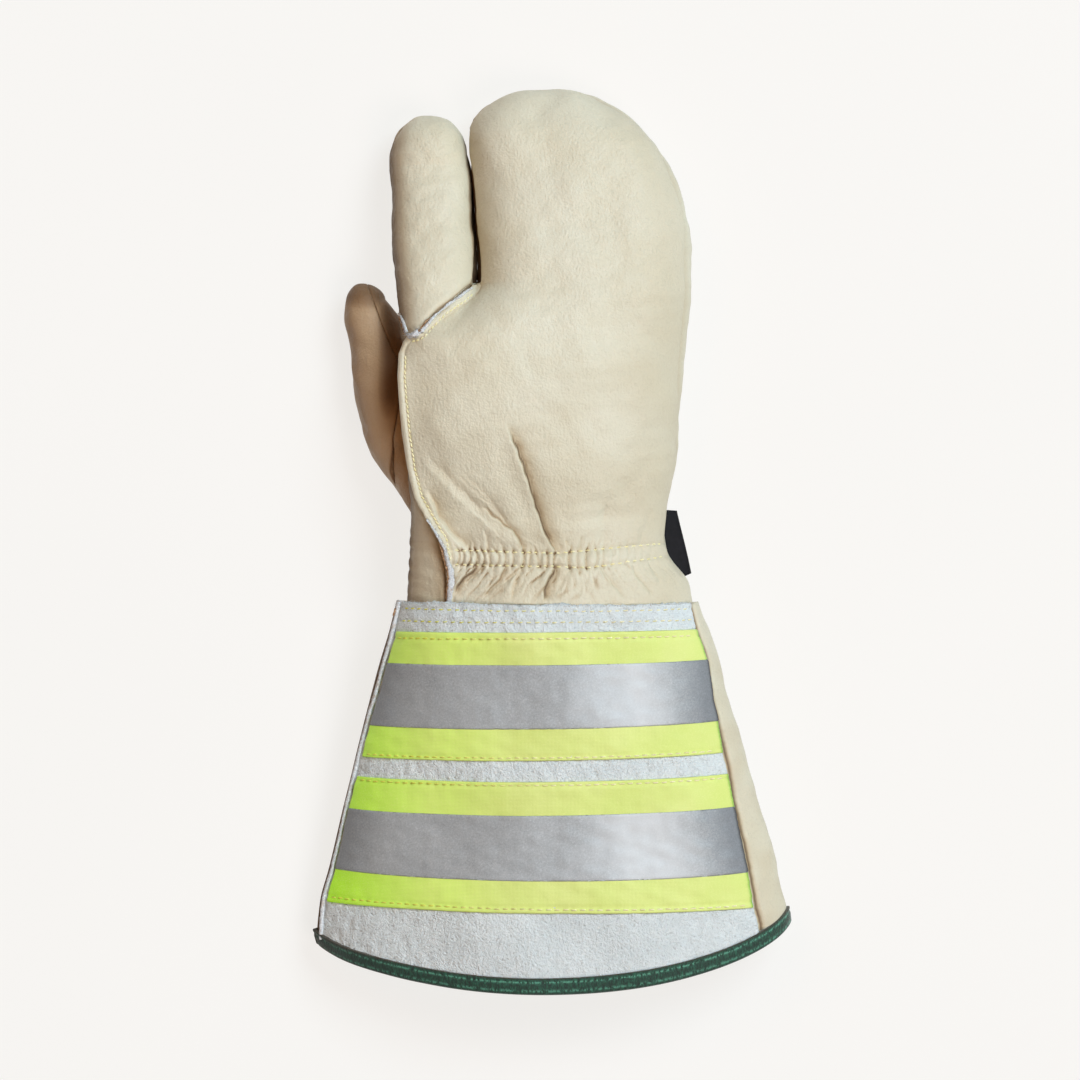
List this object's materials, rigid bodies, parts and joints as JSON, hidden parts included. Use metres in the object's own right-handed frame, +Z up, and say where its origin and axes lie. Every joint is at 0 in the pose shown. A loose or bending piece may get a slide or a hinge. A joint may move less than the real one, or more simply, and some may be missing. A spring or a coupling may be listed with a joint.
{
  "type": "one-finger work mitt with gauntlet cuff",
  "caption": "Leather winter work mitt with one free index finger, a shirred wrist and a long flared cuff banded with bright and reflective tape.",
  "frame": {"origin": "bottom centre of the mitt's box, on the surface that it lies on", "axes": "+Y to the fingertips, +X to the little-finger side of this right-hand mitt, +Z up out of the back of the hand"},
  "size_m": [0.1976, 0.3716, 0.0623],
  "materials": {
    "grain_leather": "soft cream grain leather",
    "split_leather": "pale grey napped split leather",
    "raw_edge": "fuzzy cut leather edge",
    "lime_tape": "fluorescent yellow-green woven tape",
    "silver_tape": "silver glass-bead reflective tape",
    "green_binding": "dark green woven binding",
    "black_label": "black woven label, blank"
  },
  "bodies": {
    "root": {"hand_back": "grain_leather", "finger_back": "grain_leather", "palm": "grain_leather", "thumb_outer": "grain_leather", "thumb_inner": "grain_leather", "finger_seam_edge": "raw_edge", "side_seam_edge": "raw_edge", "cuff_back": "split_leather", "cuff_palm": "grain_leather", "cuff_seam_strip": "raw_edge", "hem_binding": "green_binding", "side_label": "black_label", "tape_upper_lime": "lime_tape", "tape_upper_silver": "silver_tape", "tape_lower_lime": "lime_tape", "tape_lower_silver": "silver_tape"}
  },
  "joints": []
}
